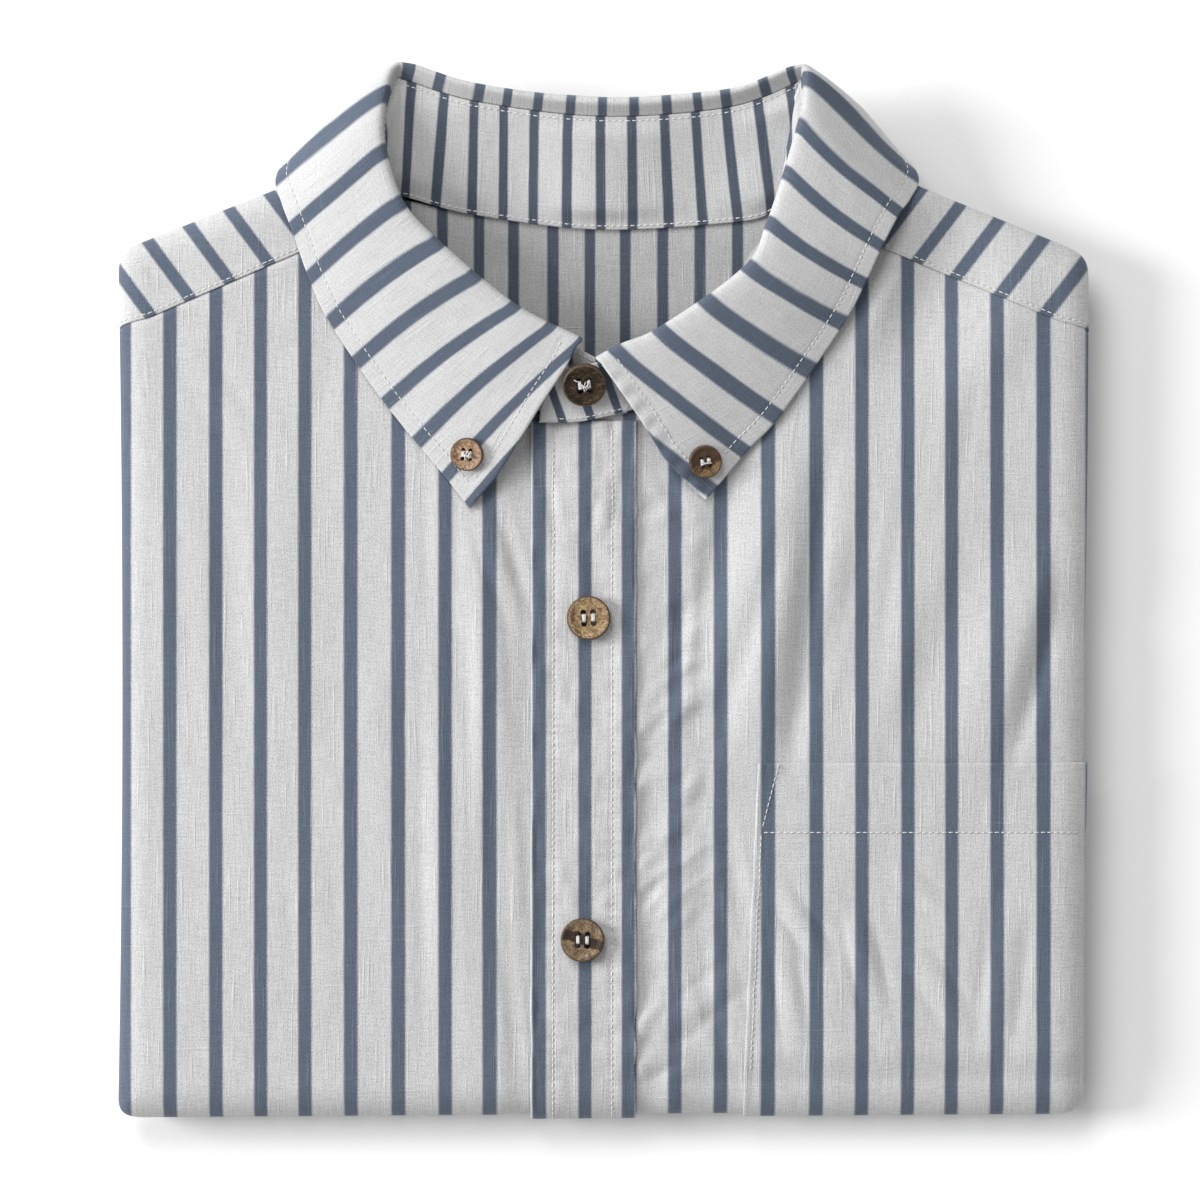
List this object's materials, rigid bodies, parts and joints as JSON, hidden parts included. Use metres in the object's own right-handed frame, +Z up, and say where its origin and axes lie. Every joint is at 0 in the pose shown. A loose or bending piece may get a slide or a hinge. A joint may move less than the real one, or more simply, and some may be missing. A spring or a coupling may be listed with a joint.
{
  "type": "folded short-sleeve shirt",
  "caption": "Short-sleeve shirt folded flat to a rectangle: button-down collar on a stand, front band, yoke seams, chest pocket and layered folded edges.",
  "frame": {"origin": "middle of the bounding box, on the surface that the shirt lies on", "axes": "+Z up out of the shirt's front, +Y from the hem fold to the collar, -X towards the wearer's right"},
  "size_m": [0.3239, 0.3521, 0.0333],
  "materials": {
    "striped_cotton": "matt slubby cotton and linen with slate-blue warp stripes",
    "collar_cotton": "the same cloth, fused to interlining",
    "coconut_shell": "sawn and lightly polished coconut shell"
  },
  "bodies": {
    "root": {"hidden_layers": "striped_cotton", "front_right": "striped_cotton", "front_left": "striped_cotton", "placket": "striped_cotton", "pocket": "striped_cotton", "yoke_shoulder_right": "striped_cotton", "yoke_shoulder_left": "striped_cotton", "yoke_inside": "striped_cotton", "collar_leaf": "collar_cotton", "collar_stand": "collar_cotton", "button_front_1": "coconut_shell", "button_front_2": "coconut_shell", "button_stand": "coconut_shell", "button_collar_right": "coconut_shell", "button_collar_left": "coconut_shell"}
  },
  "joints": []
}
